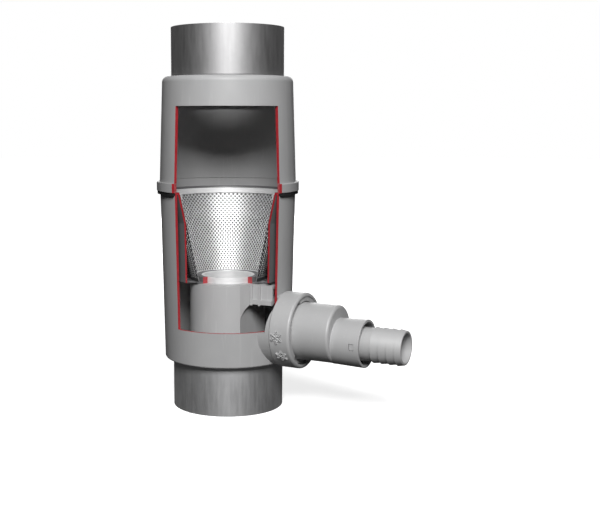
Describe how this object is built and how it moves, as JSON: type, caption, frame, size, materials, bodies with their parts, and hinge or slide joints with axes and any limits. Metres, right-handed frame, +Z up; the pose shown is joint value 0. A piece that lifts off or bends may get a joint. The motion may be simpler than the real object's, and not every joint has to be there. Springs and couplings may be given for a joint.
{
  "type": "downpipe filter",
  "caption": "Rainwater downpipe filter with a perforated cone, standpipe and hose outlet, cut open by a sector window to show its inside.",
  "frame": {"origin": "centre of the lower downpipe's bottom end", "axes": "+Z up along the downpipes, +X along the outlet towards the hose tail, window centred 61 degrees from +X towards -Y"},
  "size_m": [0.2361, 0.124, 0.339],
  "materials": {
    "downpipe_metal": "satin zinc sheet",
    "housing_plastic": "fine satin",
    "seal_rubber": "matt",
    "frame_plastic": "fine satin",
    "screen_steel": "bright perforated sheet",
    "ring_steel": "satin band",
    "standpipe_plastic": "fine satin",
    "outlet_plastic": "fine satin"
  },
  "bodies": {
    "standing_pipe": {"lower_downpipe": "downpipe_metal", "upper_downpipe": "downpipe_metal", "lower_housing": "housing_plastic", "joint_seal": "seal_rubber", "spigot_seal": "seal_rubber", "filter_frame": "frame_plastic", "filter_screen": "screen_steel", "screen_clamp_ring": "ring_steel", "standpipe": "standpipe_plastic", "standpipe_o_ring": "seal_rubber", "outlet_gasket": "seal_rubber", "outlet_adapter": "outlet_plastic", "hose_tail": "outlet_plastic", "hose_tail_o_ring": "seal_rubber"},
    "upper_shell": {"upper_housing": "housing_plastic", "upper_lip_seal": "seal_rubber"},
    "union_ring": {"outlet_union_ring": "outlet_plastic"}
  },
  "joints": [
    {"name": "upper_shell_slide", "type": "slide", "parent": "standing_pipe", "child": "upper_shell", "axis": [0, 0, 1], "range_m": [0, 0.04]},
    {"name": "union_ring_turn", "type": "hinge", "parent": "standing_pipe", "child": "union_ring", "pos_m": [0.069, 0, 0.0748], "axis": [1, 0, 0], "range_deg": [0, 60]}
  ]
}
